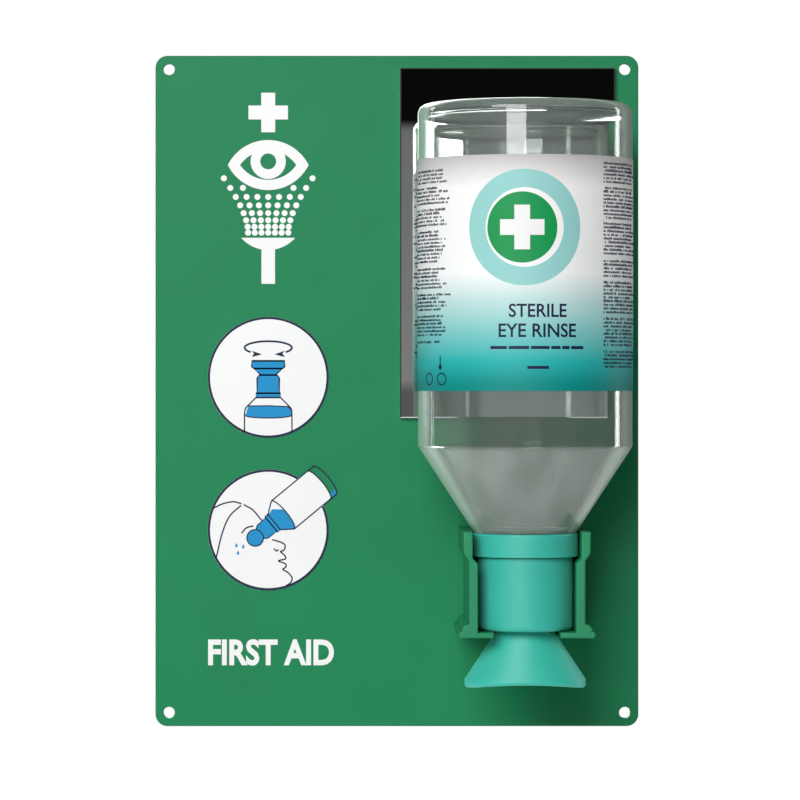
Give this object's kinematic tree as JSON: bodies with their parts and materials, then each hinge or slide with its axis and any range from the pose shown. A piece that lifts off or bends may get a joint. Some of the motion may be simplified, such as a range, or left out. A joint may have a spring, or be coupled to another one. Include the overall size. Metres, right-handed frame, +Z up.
{
  "type": "wall-mounted eyewash station",
  "caption": "Wall panel with a mirror and instruction discs, and an inverted eyewash bottle with twist cap and eyecup held in an open-fronted bracket.",
  "frame": {"origin": "centre of the panel's back face, on the wall", "axes": "+Z up, +Y into the wall, the user stands on the -Y side, +X to the user's right"},
  "size_m": [0.17, 0.0847, 0.236],
  "materials": {
    "green_panel": "satin",
    "mirror_glass": "polished",
    "foam_tape": "matte",
    "green_moulding": "satin",
    "zinc_steel": "satin",
    "white_vinyl": "satin",
    "clear_plastic": "clear and glossy",
    "printed_label": "satin print",
    "saline": "clear liquid",
    "white_plastic": "satin",
    "mint_plastic": "satin",
    "soft_seal": "matte"
  },
  "bodies": {
    "station": {"back_panel": "green_panel", "mirror": "mirror_glass", "mirror_tape": "foam_tape", "bottle_bracket": "green_moulding", "bracket_screws": "zinc_steel", "eyewash_symbol": "white_vinyl", "twist_step_sticker": "white_vinyl", "rinse_step_sticker": "white_vinyl"},
    "bottle": {"bottle_shell": "clear_plastic", "bottle_label": "printed_label", "saline_fill": "saline", "neck_plug": "white_plastic", "neck_collar": "mint_plastic"},
    "cap": {"cap_body": "mint_plastic", "seal_washer": "soft_seal", "spray_nozzle": "white_plastic", "eyecup": "mint_plastic"}
  },
  "joints": [
    {"name": "bottle_pull", "type": "slide", "parent": "station", "child": "bottle", "axis": [0, -1, 0], "range_m": [0, 0.06]},
    {"name": "cap_twist", "type": "hinge", "parent": "bottle", "child": "cap", "pos_m": [0.043, -0.048, -0.07], "axis": [0, 0, 1], "range_deg": [-60, 60]}
  ]
}
